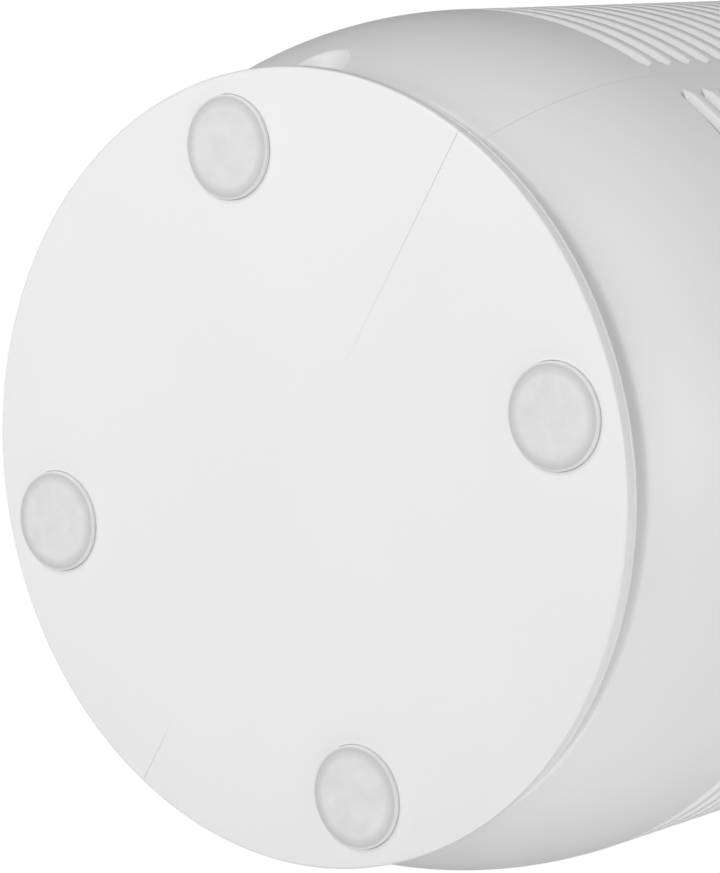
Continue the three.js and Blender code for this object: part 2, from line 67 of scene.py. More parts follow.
# ---- places and sizes read from the frame ----


def low(node):
    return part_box(node)[0]


def high(node):
    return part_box(node)[1]


def middle(node):
    return (low(node) + high(node)) / 2


def heights(node):
    return low(node).z, high(node).z


BODY_R = high("front_shell").x
SHELL_TOP = high("front_shell").z
BASE_Z = low("front_shell").z
FOOT_TOP = high("foot_front_left").z
FOOT_R = (high("foot_front_left") - low("foot_front_left")).x / 2
BEZEL_TOP = high("top_bezel").z
FOOT_NODES = ("foot_front_left", "foot_front_right", "foot_rear_right", "foot_rear_left")

# ---- the settings that a user would change ----


def length(name, description, value):
    return FloatProperty(
        name=name,
        description=description,
        default=value,
        subtype="DISTANCE",
        unit="LENGTH",
        precision=5,
    )


def angle(name, description, degrees):
    return FloatProperty(
        name=name, description=description, default=math.radians(degrees), subtype="ANGLE"
    )


def power(name, description, watts):
    return FloatProperty(name=name, description=description, default=watts, unit="POWER")


def colour(name, description, value):
    return FloatVectorProperty(
        name=name, description=description, default=value, size=3, min=0, max=1, subtype="COLOR"
    )


class ShellSettings(bpy.types.PropertyGroup):
    """Sizes of the two half shells."""

    wall: length("Wall", "Thickness of the shell's wall", 2.8 * MM)
    base_radius: length("Base radius", "Radius of the flat base plate", 80 * MM)
    base_height: length("Base height", "Height of the base plate's upright edge", 3.6 * MM)
    base_edge: length("Base edge", "Rounding of the base plate's lower edge", 0.7 * MM)
    neck_radius: length("Neck radius", "Radius of the recess between base plate and belly", 74.4 * MM)
    rim_height: length("Rim height", "Height of the belly's lower rim above the base plate", 10 * MM)
    belly_height: length("Belly height", "Height where the wall becomes upright", 62 * MM)
    belly_pull_in: length("Belly pull-in", "How much narrower the belly is near its lower rim", 10.2 * MM)
    slot_count: IntProperty(name="Slots", description="Number of air slots", default=20, min=1)
    slot_pitch: length("Slot pitch", "Distance from one slot to the next", 7 * MM)
    slot_height: length("Slot height", "Height of one slot at its narrowest", 2.5 * MM)
    slot_rise: length("Slot rise", "How much a slot climbs towards the inside", 1.2 * MM)
    slot_start: length("First slot", "Height of the first slot above the base plate", 59.6 * MM)
    slot_edge: length("Slot edge", "Rounding along a slot's lower edge", 0.3 * MM)
    slat_round: length("Slat chamfer", "Slope under each slat, above the slot", 1.6 * MM)
    crest_edge: length("Crest edge", "Rounding of the slope's outer edge", 0.35 * MM)
    front_strip: length("Front strip", "Plain strip beside each seam on the front shell", 6.6 * MM)
    rear_strip: length("Rear strip", "Plain strip beside each seam on the rear cover", 4.9 * MM)
    seam: length("Seam", "Widest gap between the two shells", 0.1 * MM)


class PurifierColours(bpy.types.PropertyGroup):
    """Colours of the finishes."""

    shell: colour("Shell", "Moulded shell plastic", (0.83, 0.83, 0.832))
    foot: colour("Foot pads", "Silicone foot pads", (0.72, 0.72, 0.716))
    grille: colour("Grille", "Outlet grille", (0.81, 0.81, 0.808))
    paper: colour("Filter paper", "Pleated filter paper", (0.86, 0.84, 0.78))
    light_ring: colour("Light ring", "Light guide round the power button", (0.72, 0.8, 0.86))


class StudioSettings(bpy.types.PropertyGroup):
    """Camera and light."""

    azimuth: angle("Azimuth", "Direction that the camera looks in, from +Y towards -X", 43.18)
    elevation: angle("Elevation", "Height of the camera above the horizon", -50.78)
    roll: angle("Roll", "Turn of the camera about its own line of sight", 80.21)
    distance: length("Distance", "From the camera to the point that it looks at", 732.4 * MM)
    lens: FloatProperty(name="Lens", description="Focal length on a 36 mm sensor", default=154.7)
    ambient: FloatProperty(name="Ambient", description="Strength of the even light", default=0.16)
    soft_boxes: power("Soft boxes", "Power of a soft box of share 1", 10.0)
    overhead: power("Overhead", "Power of the overhead light", 14.0)
    floor_light: power("Floor light", "Power of the light that only the floor receives", 340.0)


def settings():
    return bpy.context.scene.purifier_shell


def colours():
    return bpy.context.scene.purifier_colours


def studio():
    return bpy.context.scene.purifier_studio


# ---- materials ----

PLASTIC_GRAIN = 0.45 * MM


def link(tree, start, end):
    tree.links.new(start, end)


def new_node(tree, kind, **values):
    node = tree.nodes.new(kind)
    for name, value in values.items():
        setattr(node, name, value)
    return node


def set_inputs(node, values):
    for name, value in values.items():
        node.inputs[name].default_value = value


def noise(tree, place, size, detail=3.0):
    node = new_node(tree, "ShaderNodeTexNoise")
    set_inputs(node, {"Scale": 1 / size, "Detail": detail})
    link(tree, place, node.inputs["Vector"])
    return node.outputs["Fac"]


def remap(tree, value, start, end):
    node = new_node(tree, "ShaderNodeMapRange")
    set_inputs(node, {"From Min": 0.3, "From Max": 0.7, "To Min": start, "To Max": end})
    link(tree, value, node.inputs["Value"])
    return node.outputs["Result"]


def blend_colours(tree, share, first, second):
    node = new_node(tree, "ShaderNodeMix", data_type="RGBA")
    set_inputs(node, {"A": (*first, 1), "B": (*second, 1)})
    link(tree, share, node.inputs["Factor"])
    return node.outputs["Result"]


def scaled(colour_value, factor):
    return tuple(min(1.0, c * factor) for c in colour_value)


def start_material(name, stretch=(1, 1, 1)):
    material = bpy.data.materials.new(name)
    material.use_nodes = True
    tree = material.node_tree
    place = new_node(tree, "ShaderNodeTexCoord").outputs["Object"]
    if tuple(stretch) != (1, 1, 1):
        mapping = new_node(tree, "ShaderNodeMapping")
        set_inputs(mapping, {"Scale": stretch})
        link(tree, place, mapping.inputs["Vector"])
        place = mapping.outputs["Vector"]
    return material, tree, tree.nodes["Principled BSDF"], place


def bump(tree, shader, height, depth):
    node = new_node(tree, "ShaderNodeBump")
    set_inputs(node, {"Strength": 1.0, "Distance": depth})
    link(tree, height, node.inputs["Height"])
    link(tree, node.outputs["Normal"], shader.inputs["Normal"])


def moulded_plastic(name, base, roughness, depth=0.004 * MM, tint=0.012):
    """Injection-moulded plastic: a fine spark-eroded grain, with a faint drift in colour and gloss."""
    material, tree, shader, place = start_material(name)
    drift = remap(tree, noise(tree, place, 60 * MM, 2), 0, 1)
    shade = blend_colours(tree, drift, scaled(base, 1 - tint), scaled(base, 1 + tint))
    link(tree, shade, shader.inputs["Base Color"])
    gloss = remap(tree, noise(tree, place, 9 * MM, 4), roughness - 0.025, roughness + 0.025)
    link(tree, gloss, shader.inputs["Roughness"])
    bump(tree, shader, noise(tree, place, PLASTIC_GRAIN, 2), depth)
    return material


def silicone(name, base):
    """Soft foot pad: mottled, slightly felted, a little translucent, and darkened by a painted ring of
    shade just inside its edge.
    """
    material, tree, shader, place = start_material(name)
    mottle = remap(tree, noise(tree, place, 5 * MM, 5), 0, 1)
    shade = blend_colours(tree, mottle, scaled(base, 0.98), scaled(base, 1.08))
    # Painted shade: the rim attribute mixes in a darker colour as a ring just inside the pad's edge.
    rim = new_node(tree, "ShaderNodeAttribute", attribute_name="rim").outputs["Fac"]
    ring = new_node(tree, "ShaderNodeMix", data_type="RGBA")
    link(tree, rim, ring.inputs["Factor"])
    link(tree, shade, ring.inputs["A"])
    set_inputs(ring, {"B": (*scaled(base, 0.78), 1)})
    link(tree, ring.outputs["Result"], shader.inputs["Base Color"])
    link(tree, remap(tree, noise(tree, place, 2 * MM, 3), 0.55, 0.75), shader.inputs["Roughness"])
    glow = {"Subsurface Weight": 0.15, "Subsurface Scale": 0.6 * MM, "Subsurface Radius": (1, 1, 1)}
    set_inputs(shader, glow)
    bump(tree, shader, noise(tree, place, 1.1 * MM, 6), 0.05 * MM)
    return material


def metal(name, base, roughness, stretch=(1, 1, 1)):
    """Plated or drawn metal, with fine marks along the way that it was worked."""
    material, tree, shader, place = start_material(name, stretch)
    set_inputs(shader, {"Metallic": 1})
    marks = noise(tree, place, 0.6 * MM, 4)
    shade = blend_colours(tree, marks, scaled(base, 0.9), scaled(base, 1.08))
    link(tree, shade, shader.inputs["Base Color"])
    link(tree, remap(tree, marks, roughness - 0.08, roughness + 0.08), shader.inputs["Roughness"])
    bump(tree, shader, marks, 0.006 * MM)
    return material


def fibre(name, base, size, depth, contrast=0.12, stretch=(1, 1, 1), roughness=0.95):
    """Paper, felt, foam and tape: a random fibre or cell at its own scale."""
    material, tree, shader, place = start_material(name, stretch)
    cell = noise(tree, place, size, 6)
    share = remap(tree, cell, 0, 1)
    shade = blend_colours(tree, share, scaled(base, 1 - contrast), scaled(base, 1 + contrast))
    link(tree, shade, shader.inputs["Base Color"])
    set_inputs(shader, {"Roughness": roughness, "Sheen Weight": 0.15})
    bump(tree, shader, cell, depth)
    return material


def circuit_board(name, base):
    """Solder mask over copper tracks, with a scatter of bare pads."""
    material, tree, shader, place = start_material(name)
    bricks = new_node(tree, "ShaderNodeTexBrick")
    set_inputs(bricks, {"Scale": 1 / (9 * MM), "Mortar Size": 0.03})
    for name, factor in {"Color1": 1, "Color2": 0.8, "Mortar": 1.9}.items():
        set_inputs(bricks, {name: (*scaled(base, factor), 1)})
    link(tree, place, bricks.inputs["Vector"])
    link(tree, bricks.outputs["Color"], shader.inputs["Base Color"])
    link(tree, remap(tree, noise(tree, place, 4 * MM), 0.3, 0.45), shader.inputs["Roughness"])
    bump(tree, shader, bricks.outputs["Fac"], 0.03 * MM)
    return material


def make_materials():
    """One finish for each of the record's material slots."""
    tone = colours()
    return {
        "shell_white": moulded_plastic("shell_plastic", tone.shell, 0.36),
        "grille_white": moulded_plastic("grille_plastic", tone.grille, 0.46, depth=0.008 * MM),
        "panel_white": moulded_plastic("panel_plastic", tone.shell, 0.2, depth=0.001 * MM),
        "button_white": moulded_plastic("button_plastic", scaled(tone.shell, 1.03), 0.33),
        "foot_silicone": silicone("foot_silicone", tone.foot),
        "grey_plastic": moulded_plastic("frame_plastic", (0.5, 0.51, 0.52), 0.5, 0.012 * MM, 0.04),
        "dark_plastic": moulded_plastic("dark_plastic", (0.03, 0.03, 0.034), 0.48, 0.012 * MM, 0.1),
        "fan_plastic": moulded_plastic("fan_plastic", (0.2, 0.2, 0.21), 0.42, 0.006 * MM, 0.05),
        "connector_white": moulded_plastic("connector_plastic", (0.78, 0.76, 0.68), 0.5, tint=0.03),
        "light_guide": moulded_plastic("light_guide", tone.light_ring, 0.3, depth=0.002 * MM),
        "steel": metal("plated_steel", (0.62, 0.62, 0.63), 0.28),
        "motor_metal": metal("drawn_can", (0.6, 0.61, 0.62), 0.34, stretch=(1, 1, 6)),
        "circuit_board": circuit_board("solder_mask", (0.03, 0.16, 0.085)),
        "filter_paper": fibre("filter_paper", tone.paper, 0.9 * MM, 0.06 * MM, 0.04, (1, 1, 0.4)),
        "prefilter_mesh": fibre(
            "prefilter_net", (0.09, 0.09, 0.1), 0.5 * MM, 0.02 * MM, roughness=0.6
        ),
        "carbon": fibre("carbon_felt", (0.022, 0.022, 0.024), 1.4 * MM, 0.3 * MM, 0.5),
        "seal_foam": fibre("seal_foam", (0.03, 0.03, 0.032), 0.7 * MM, 0.12 * MM, 0.3),
        "tab_fabric": fibre(
            "woven_tape", (0.03, 0.03, 0.034), 0.4 * MM, 0.08 * MM, 0.35, (1, 1, 4)
        ),
    }


finishes = {}

# ---- mesh helpers ----


def arc(centre, radius, start, end, steps):
    """Points on an arc in the radius-height plane; angles in degrees from straight outwards."""
    turns = [math.radians(start + (end - start) * i / steps) for i in range(steps + 1)]
    return [(centre[0] + radius * math.cos(t), centre[1] + radius * math.sin(t)) for t in turns]


def spread(start, end, count):
    return [start + (end - start) * i / (count - 1) for i in range(count)]


def outline_loop(bm, points, at_angle=0.0):
    turn = Matrix.Rotation(at_angle, 3, "Z")
    verts = [bm.verts.new(turn @ Vector((r, 0, z))) for r, z in points]
    edges = [bm.edges.new(pair) for pair in zip(verts, verts[1:] + verts[:1])]
    return verts, edges


def spin(bm, geom, sweep, steps, full=False):
    made = bmesh.ops.spin(
        bm,
        geom=geom,
        cent=(0, 0, 0),
        axis=UP,
        angle=sweep,
        steps=steps,
        use_merge=full,
        use_duplicate=False,
    )
    return made["geom_last"]


def turned(points, steps=128):
    """A closed outline of (radius, height) points turned all the way round."""
    bm = bmesh.new()
    verts, edges = outline_loop(bm, points)
    spin(bm, verts + edges, TURN, steps, full=True)
    tidy(bm)
    return bm


def tidy(bm):
    bmesh.ops.remove_doubles(bm, verts=bm.verts, dist=MERGE)
    bmesh.ops.recalc_face_normals(bm, faces=bm.faces)


def bevel_edges(bm, edges, offset, segments=2):
    bmesh.ops.bevel(
        bm,
        geom=list(edges),
        offset=offset,
        segments=segments,
        affect="EDGES",
        profile=0.5,
        material=NO_MATERIAL,
        clamp_overlap=True,
    )


def placed_box(bm, size, place, edge):
    """A box under a placing matrix, with all its edges rounded."""
    made = bmesh.ops.create_cube(bm, size=1, matrix=place @ Matrix.Diagonal((*size, 1)))
    if edge > 0:
        bevel_edges(bm, {e for v in made["verts"] for e in v.link_edges}, edge)


def rounded_box(bm, size, centre, edge, at_angle=0.0):
    """A box with rounded edges, turned about the upright axis."""
    place = Matrix.Rotation(at_angle, 4, "Z") @ Matrix.Translation(centre)
    placed_box(bm, size, place, edge)


def upright_rods(bm, centres, radius, z0, z1, segments=32):
    for centre in centres:
        bmesh.ops.create_cone(
            bm,
            cap_ends=True,
            segments=segments,
            radius1=radius,
            radius2=radius,
            depth=z1 - z0,
            matrix=Matrix.Translation((centre.x, centre.y, (z0 + z1) / 2)),
        )


def polar(radius, turn, z):
    return radius * math.cos(turn), radius * math.sin(turn), z


def raise_sheet(bm, points, height, closed=False):
    """Raises an upright sheet from a line of points."""
    verts = [bm.verts.new(point) for point in points]
    ends = verts[1:] + verts[:1] if closed else verts[1:]
    edges = [bm.edges.new(pair) for pair in zip(verts, ends)]
    made = bmesh.ops.extrude_edge_only(bm, edges=edges)["geom"]
    lifted = [g for g in made if isinstance(g, bmesh.types.BMVert)]
    bmesh.ops.translate(bm, verts=lifted, vec=(0, 0, height))


def thicken(bm, thickness):
    bmesh.ops.recalc_face_normals(bm, faces=bm.faces)
    bmesh.ops.solidify(bm, geom=bm.faces[:], thickness=thickness)
    bmesh.ops.recalc_face_normals(bm, faces=bm.faces)


def add_mesh(name, bm):
    mesh = bpy.data.meshes.new(name)
    bm.to_mesh(mesh)
    bm.free()
    piece = bpy.data.objects.new(name, mesh)
    bpy.context.scene.collection.objects.link(piece)
    return piece


def carve(piece, tool_bm, operation):
    """Joins a closed mesh to the piece, or cuts it away."""
    tool = add_mesh("tool", tool_bm)
    modifier = piece.modifiers.new("carve", "BOOLEAN")
    modifier.operation = operation
    modifier.solver = "EXACT"
    modifier.object = tool
    evaluated = piece.evaluated_get(bpy.context.evaluated_depsgraph_get())
    mesh = bpy.data.meshes.new_from_object(evaluated)
    piece.modifiers.clear()
    piece.data = mesh
    bpy.data.objects.remove(tool)


def finish_piece(piece, body, slot, *nodes, sharp=35):
    piece.data.shade_smooth()
    piece.data.set_sharp_from_angle(angle=math.radians(sharp))
    piece.data.materials.clear()
    piece.data.materials.append(finishes[slot])
    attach(piece, body)
    if nodes:
        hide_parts(*nodes)


def turned_piece(name, outline, steps, *finish):
    finish_piece(add_mesh(name, turned(outline, steps)), *finish)


# ---- half shells ----

STRIP_STEPS = 3
WALL_STEPS = 96
BELLY_STEPS = 16
SLOT_LEVELS = 4  # steps up each slot's rounded end
SLOT_END = 1.3 * MM
SEAM_FADE_LEFT = 20 * MM  # the seam in the base plate closes up this far from the middle
SEAM_FADE_RIGHT = 62 * MM
GROOVE_DEPTH = 0.35 * MM
GROOVE_WIDTH = 0.15 * MM
PLATE_THICKNESS = 3 * MM
BELLY_START = 14 * MM  # height above the base plate where the full pull-in is reached
BELLY_CURVE = 2.2
SEAM_ON_WALL = 0.4  # shares of the widest gap
SEAM_CLOSED = 0.02
FOOT_GAP = 0.1 * MM
RIB_START = 58 * MM  # above the base plate
RIB_END = 194.3 * MM  # above the foot of the inner frame
BOSS_INSET = 0.99  # the bosses stand a little nearer to the axis than their screws
BOSS = (6.2 * MM, 3 * MM, 7.2 * MM)  # radius, lower end and upper end
SCREW_BORES = ((1.9 * MM, 2 * MM, 9 * MM), (3.6 * MM, 1 * MM, 5 * MM))
PAD_X = 79.8 * MM  # the pads that carry the strike plates
PAD_BEHIND = 2.2 * MM
PAD_SIZE = Vector((14.4, 3, 12)) * MM
SCOOP_ANGLE = math.radians(146)
SCOOP_R = 6 * MM
SCOOP_Z = BASE_Z + 11.2 * MM
SCOOP_TUBE = (64 * MM, 73.5 * MM)  # distances of its ends from the axis
SCOOP_TUBE_WALL = 2.4 * MM
SCOOP_FLARE = (  # distance from the axis and radius, in millimetres
    (60, 5.2),
    (70, 5.6),
    (75, 6.1),
    (78, 6.8),
    (80, 7.7),
    (82, 9.0),
    (84, 10.8),
    (88, 15.5),
    (96, 26.0),
)


def belly_radius(z):
    s = settings()
    top = BASE_Z + s.belly_height
    fall = max(0.0, (top - z) / (s.belly_height - BELLY_START))
    return BODY_R - s.belly_pull_in * fall**BELLY_CURVE


def slot_bottom(index):
    s = settings()
    return BASE_Z + s.slot_start + index * s.slot_pitch


def slot_heights():
    s = settings()
    steps = [s.slot_height * k / SLOT_LEVELS for k in range(SLOT_LEVELS + 1)]
    return [slot_bottom(i) + step for i in range(s.slot_count) for step in steps]


def shell_outline():
    """The wall's section, up the outside and down the inside."""
    s = settings()
    edge, lip = s.base_edge, 0.5 * MM
    plate_top = BASE_Z + s.base_height
    groove = plate_top - 1.1 * MM
    rim = BASE_Z + s.rim_height
    fillet = 2 * MM
    curve_start = rim + 1.4 * MM
    belly = spread(curve_start, slot_bottom(0) - 0.6 * MM, BELLY_STEPS)
    outside = [
        (0, BASE_Z),
        (SEAM_FADE_LEFT, BASE_Z),
        (SEAM_FADE_RIGHT, BASE_Z),
        *arc((s.base_radius - edge, BASE_Z + edge), edge, -90, 0, 6),
        (s.base_radius, groove),
        (s.base_radius - GROOVE_DEPTH, groove),
        (s.base_radius - GROOVE_DEPTH, groove + GROOVE_WIDTH),
        *arc((s.base_radius - 0.25 * MM, groove + GROOVE_WIDTH + 0.3 * MM), 0.3 * MM, -90, 0, 3),
        *arc((s.base_radius - 0.3 * MM, plate_top - 0.35 * MM), 0.35 * MM, 0, 90, 4),
        *arc((s.neck_radius + fillet, plate_top + fillet), fillet, 270, 180, 6),
        *arc((s.neck_radius + lip, rim - lip), lip, 180, 90, 3),
        (s.neck_radius + 2.4 * MM, rim),
        (s.neck_radius + 3.3 * MM, rim + 0.2 * MM),
        (s.neck_radius + 3.8 * MM, rim + 0.6 * MM),
        *((belly_radius(z), z) for z in belly),
        *((BODY_R, z) for z in slot_heights()),
        (BODY_R, SHELL_TOP),
    ]
    inside_r = BODY_R - s.wall
    floor = BASE_Z + PLATE_THICKNESS
    inside = [
        (inside_r, SHELL_TOP),
        *((inside_r, z + s.slot_rise) for z in reversed(slot_heights())),
        *((belly_radius(z) - s.wall, z + 0.8 * MM) for z in reversed(belly)),
        (s.neck_radius - s.wall, rim + 2.6 * MM),
        (s.neck_radius - s.wall, floor),
        (0, floor),
    ]
    return outside + inside


def strip_angle(side):
    s = settings()
    return (s.front_strip if side < 0 else s.rear_strip) / BODY_R


def along(vertex, side):
    """Angle of a point from the +X seam, going round this half shell."""
    return math.atan2(side * vertex.y, vertex.x)


def cut_slots(bm, side):
    """Opens every air slot, joins its outer rim to its inner rim and shapes its ends and edges."""
    s = settings()
    strip = strip_angle(side)
    small = 1e-5
    small_share = 1e-3
    skin = BODY_R - s.wall / 2

    def slot_of(point):
        level = point.z if math.hypot(point.x, point.y) > skin else point.z - s.slot_rise
        place = (level - slot_bottom(0)) / s.slot_pitch
        index = math.floor(place + small)
        share = (place - index) * s.slot_pitch / s.slot_height
        on_wall = math.hypot(point.x, point.y) > BODY_R - s.wall - 0.1 * MM
        return (index, share) if on_wall and 0 <= index < s.slot_count and share < 1 + small else (None, 0)

    open_faces = [
        f
        for f in bm.faces
        if strip < along(f.calc_center_median(), side) < HALF_TURN - strip
        and slot_of(f.calc_center_median())[0] is not None
    ]
    bmesh.ops.delete(bm, geom=open_faces, context="FACES")
    rims = {}
    for edge in bm.edges:
        if edge.is_boundary:
            index = slot_of((edge.verts[0].co + edge.verts[1].co) / 2)[0]
            rims.setdefault(index, []).append(edge)
    lower_edges, upper_edges = [], []
    for edges in rims.values():
        for edge in edges:
            shares = [slot_of(v.co)[1] for v in edge.verts]
            outside = math.hypot(*edge.verts[0].co.xy) > skin
            if outside and max(shares) < small_share:
                lower_edges.append(edge)
            elif outside and min(shares) > 1 - small_share:
                upper_edges.append(edge)
        bmesh.ops.bridge_loops(bm, edges=edges)
    for vertex in bm.verts:
        index, share = slot_of(vertex.co)
        here = along(vertex.co, side)
        at_end = min(abs(here - strip), abs(here - HALF_TURN + strip)) < small
        if index is not None and at_end:
            bulge = SLOT_END * math.sqrt(max(0.0, 1 - (2 * share - 1) ** 2)) / BODY_R
            shift = -bulge if here < HALF_TURN / 2 else bulge
            vertex.co.rotate(Matrix.Rotation(side * shift, 3, "Z"))
    bevel_edges(bm, lower_edges, s.slot_edge)
    bevel_edges(bm, [e for e in upper_edges if e.is_valid], s.slat_round, segments=1)
    crest = s.slot_height + s.slat_round
    crests = []
    for edge in bm.edges:
        levels = [(v.co.z - slot_bottom(0)) / s.slot_pitch for v in edge.verts]
        on_skin = all(math.hypot(*v.co.xy) > BODY_R - small for v in edge.verts)
        if on_skin and all(abs((level % 1) * s.slot_pitch - crest) < small for level in levels):
            crests.append(edge)
    bevel_edges(bm, crests, s.crest_edge)


def seam_share(point):
    """How far the two shells stand apart at a point of the seam, as a share of the widest gap."""
    s = settings()
    if point.z > BASE_Z + s.base_height:
        return SEAM_ON_WALL
    start = SEAM_FADE_LEFT if point.x < 0 else SEAM_FADE_RIGHT
    reach = (abs(point.x) - start) / (s.base_radius - start)
    return SEAM_CLOSED + (1 - SEAM_CLOSED) * min(1.0, max(0.0, reach))


def half_shell(side):
    """One half of the shell: side is -1 at the front and 1 at the rear."""
    s = settings()
    bm = bmesh.new()
    verts, edges = outline_loop(bm, shell_outline())
    face = bm.faces.new(verts)
    strip = strip_angle(side)
    last = spin(bm, [face, *verts, *edges], side * strip, STRIP_STEPS)
    last = spin(bm, last, side * (HALF_TURN - 2 * strip), WALL_STEPS)
    spin(bm, last, side * strip, STRIP_STEPS)
    tidy(bm)
    cut_slots(bm, side)
    for vertex in bm.verts:
        if abs(vertex.co.y) < 1e-6:
            vertex.co.y = side * s.seam / 2 * seam_share(vertex.co)
    tidy(bm)
    return bm


def carve_foot_pockets(piece, nodes):
    bm = bmesh.new()
    depth = FOOT_TOP + 0.3 * MM
    upright_rods(bm, [middle(node) for node in nodes], FOOT_R + FOOT_GAP, -depth, depth, 64)
    carve(piece, bm, "DIFFERENCE")


def ribs(bm, side):
    s = settings()
    inner, outer = BODY_R - s.wall - 2.6 * MM, BODY_R - s.wall + 1.2 * MM
    z0, z1 = BASE_Z + RIB_START, low("inner_frame").z + RIB_END
    size = Vector((outer - inner, 2 * MM, z1 - z0))
    centre = Vector(((inner + outer) / 2, 0, (z0 + z1) / 2))
    for degrees in (45, 90, 135):
        rounded_box(bm, size, centre, 0, at_angle=side * math.radians(degrees))


class PURIFIER_OT_front_shell(bpy.types.Operator):
    """Front half shell with its louvres, foot pockets and screw holes"""

    bl_idname = "purifier.front_shell"
    bl_label = "Front Shell"

    def execute(self, context):
        piece = add_mesh("shell_front_half", half_shell(-1))
        added = bmesh.new()
        ribs(added, -1)
        screws = [middle(node) for node in ("base_screw_left", "base_screw_right")]
        upright_rods(added, [centre * BOSS_INSET for centre in screws], *BOSS)
        carve(piece, added, "UNION")
        carve_foot_pockets(piece, FOOT_NODES[:2])
        for bore in SCREW_BORES:
            cut = bmesh.new()
            upright_rods(cut, screws, *bore)
            carve(piece, cut, "DIFFERENCE")
        finish_piece(piece, "housing", "shell_white", "front_shell")
        return {"FINISHED"}


def along_scoop(reach):
    """Lays an upright mesh along the cord scoop, at a distance from the axis."""
    return (
        Matrix.Rotation(SCOOP_ANGLE, 4, "Z")
        @ Matrix.Translation((reach, 0, SCOOP_Z))
        @ Matrix.Rotation(QUARTER_TURN, 4, "Y")
    )


def scoop_tube(bm):
    """The solid rod that the scoop's bore is cut through."""
    start, end = SCOOP_TUBE
    radius = SCOOP_R + SCOOP_TUBE_WALL
    bmesh.ops.create_cone(
        bm,
        cap_ends=True,
        segments=64,
        radius1=radius,
        radius2=radius,
        depth=end - start,
        matrix=along_scoop((start + end) / 2),
    )


def scoop_horn():
    """The scoop's bore, which opens softly like a horn where it leaves the belly."""
    points = [(radius * MM, reach * MM) for reach, radius in SCOOP_FLARE]
    bm = turned([(0, points[0][1]), *points, (0, points[-1][1])], steps=64)
    bmesh.ops.transform(bm, verts=bm.verts, matrix=along_scoop(0))
    return bm


class PURIFIER_OT_rear_cover(bpy.types.Operator):
    """Removable rear half shell, with the round cord scoop under its belly"""

    bl_idname = "purifier.rear_cover"
    bl_label = "Rear Cover"

    def execute(self, context):
        piece = add_mesh("shell_rear_cover", half_shell(1))
        added = bmesh.new()
        ribs(added, 1)
        for side in (-1, 1):
            plate = middle(f"strike_plate_{'left' if side < 0 else 'right'}")
            centre = Vector((side * PAD_X, plate.y + PAD_BEHIND, plate.z))
            rounded_box(added, PAD_SIZE, centre, 0)
        scoop_tube(added)
        carve(piece, added, "UNION")
        carve(piece, scoop_horn(), "DIFFERENCE")
        carve_foot_pockets(piece, FOOT_NODES[2:])
        finish_piece(piece, "cover", "shell_white", "rear_cover")
        return {"FINISHED"}


# ---- feet ----

# Painted shade on the foot pads: a darker ring just inside each pad's edge.
PAINTED_SHADE_PEAK = 0.6 * MM  # how far inside the pad's edge its painted ring of shade is darkest
PAINTED_SHADE_WIDTH = 2.1 * MM


def foot_outline():
    radius, edge, rim = FOOT_R, 0.25 * MM, 0.36 * MM
    return [
        (0, 0),
        (radius - 3.6 * MM, 0),
        (radius - 2.7 * MM, 0.02 * MM),
        (radius - 1.9 * MM, 0.07 * MM),
        (radius - 1.1 * MM, 0.17 * MM),
        (radius - 0.6 * MM, 0.28 * MM),
        *arc((radius - edge, rim + edge), edge, -75, 0, 3),
        (radius, FOOT_TOP),
        (0, FOOT_TOP),
    ]


def painted_rim_shade(inset):
    """How much painted shade darkens the pad at a distance inside its edge: a soft ring, clear of the side
    wall.
    """
    rise = 1 - (inset - PAINTED_SHADE_PEAK) / PAINTED_SHADE_WIDTH
    return min(1.0, max(0.0, rise)) if inset > PAINTED_SHADE_PEAK - 0.1 * MM else 0.0


class PURIFIER_OT_feet(bpy.types.Operator):
    """Four round foot pads, dished underneath and rounded at the rim"""

    bl_idname = "purifier.feet"
    bl_label = "Feet"

    def execute(self, context):
        for node in FOOT_NODES:
            bm = turned(foot_outline(), steps=72)
            centre = middle(node)
            # Painted shade: each vertex stores how much the ring of shade near the edge darkens it.
            rim = bm.verts.layers.float.new("rim")
            for vertex in bm.verts:
                vertex[rim] = painted_rim_shade(FOOT_R - math.hypot(vertex.co.x, vertex.co.y))
            bmesh.ops.translate(bm, verts=bm.verts, vec=(centre.x, centre.y, 0))
            body = "housing" if "front" in node else "cover"
            piece = add_mesh(node.replace("foot", "foot_pad"), bm)
            finish_piece(piece, body, "foot_silicone", node, sharp=50)
        return {"FINISHED"}


# ---- top ----

GRILLE_BARS = 30
PANEL_R = high("control_panel").x
PANEL_BOTTOM, PANEL_TOP = heights("control_panel")
CUP_R = PANEL_R + 3 * MM
KEYS = {"speed": "speed_key", "timer": "timer_key", "lamp": "lamp_key"}
KEY_R = (high("speed_button") - low("speed_button")).x / 2
POWER_R = high("power_button").x
LIGHT_R = high("light_ring").x


def bezel_outline():
    bottom = SHELL_TOP + 0.3 * MM
    opening = BODY_R - 15 * MM
    inner_skirt = BODY_R - 5.6 * MM
    outer_skirt = BODY_R - 3.4 * MM
    skirt_bottom = low("top_bezel").z
    crown = 10 * MM
    seat = low("top_grille").z + 14 * MM
    return [
        (BODY_R, bottom),
        (BODY_R, bottom + 1 * MM),
        *arc((BODY_R - crown, BEZEL_TOP - crown), crown, 0, 82, 12),
        *arc((opening + 1.6 * MM, BEZEL_TOP - 1.6 * MM), 1.6 * MM, 90, 180, 6),
        (opening, seat),
        (inner_skirt, seat - 3 * MM),
        (inner_skirt, skirt_bottom),
        (outer_skirt, skirt_bottom),
        (outer_skirt, bottom),
    ]


class PURIFIER_OT_bezel(bpy.types.Operator):
    """Rounded rim round the air outlet"""

    bl_idname = "purifier.bezel"
    bl_label = "Top Bezel"

    def execute(self, context):
        turned_piece("bezel_ring", bezel_outline(), 192, "housing", "shell_white", "top_bezel")
        return {"FINISHED"}


